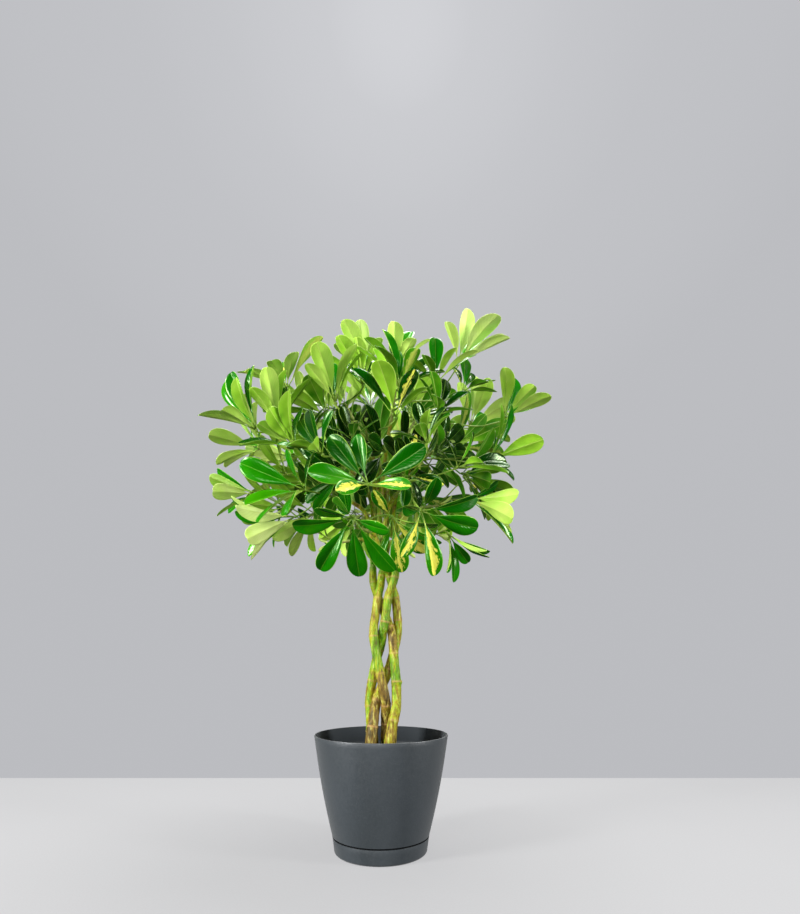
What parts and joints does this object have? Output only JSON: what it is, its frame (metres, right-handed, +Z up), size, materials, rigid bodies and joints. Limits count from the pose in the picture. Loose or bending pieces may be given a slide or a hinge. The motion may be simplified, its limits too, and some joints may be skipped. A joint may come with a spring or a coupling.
{
  "type": "potted schefflera",
  "caption": "Potted dwarf umbrella tree: plaited stems carry a round crown of palmate, yellow-splashed leaves above a tapered pot that stands in a flush tray.",
  "frame": {"origin": "on the pot's axis, in the plane that the tray stands on", "axes": "+Z up along the pot's axis, -Y towards the viewer, +X to the viewer's right"},
  "size_m": [0.6204, 0.5461, 0.9585],
  "materials": {
    "pot": "satin",
    "tray": "satin",
    "soil": "matte",
    "bark": "matte",
    "foliage": "satin"
  },
  "bodies": {
    "root": {"pot": "pot", "tray": "tray", "soil": "soil", "stem_1": "bark", "stem_2": "bark", "stem_3": "bark", "stem_4": "bark", "shoot_01": "foliage", "shoot_02": "foliage", "shoot_03": "foliage", "shoot_04": "foliage", "shoot_05": "foliage", "shoot_06": "foliage", "shoot_07": "foliage", "shoot_08": "foliage", "shoot_09": "foliage", "shoot_10": "foliage", "shoot_11": "foliage", "shoot_12": "foliage", "shoot_13": "foliage", "shoot_14": "foliage", "shoot_15": "foliage", "shoot_16": "foliage"}
  },
  "joints": []
}
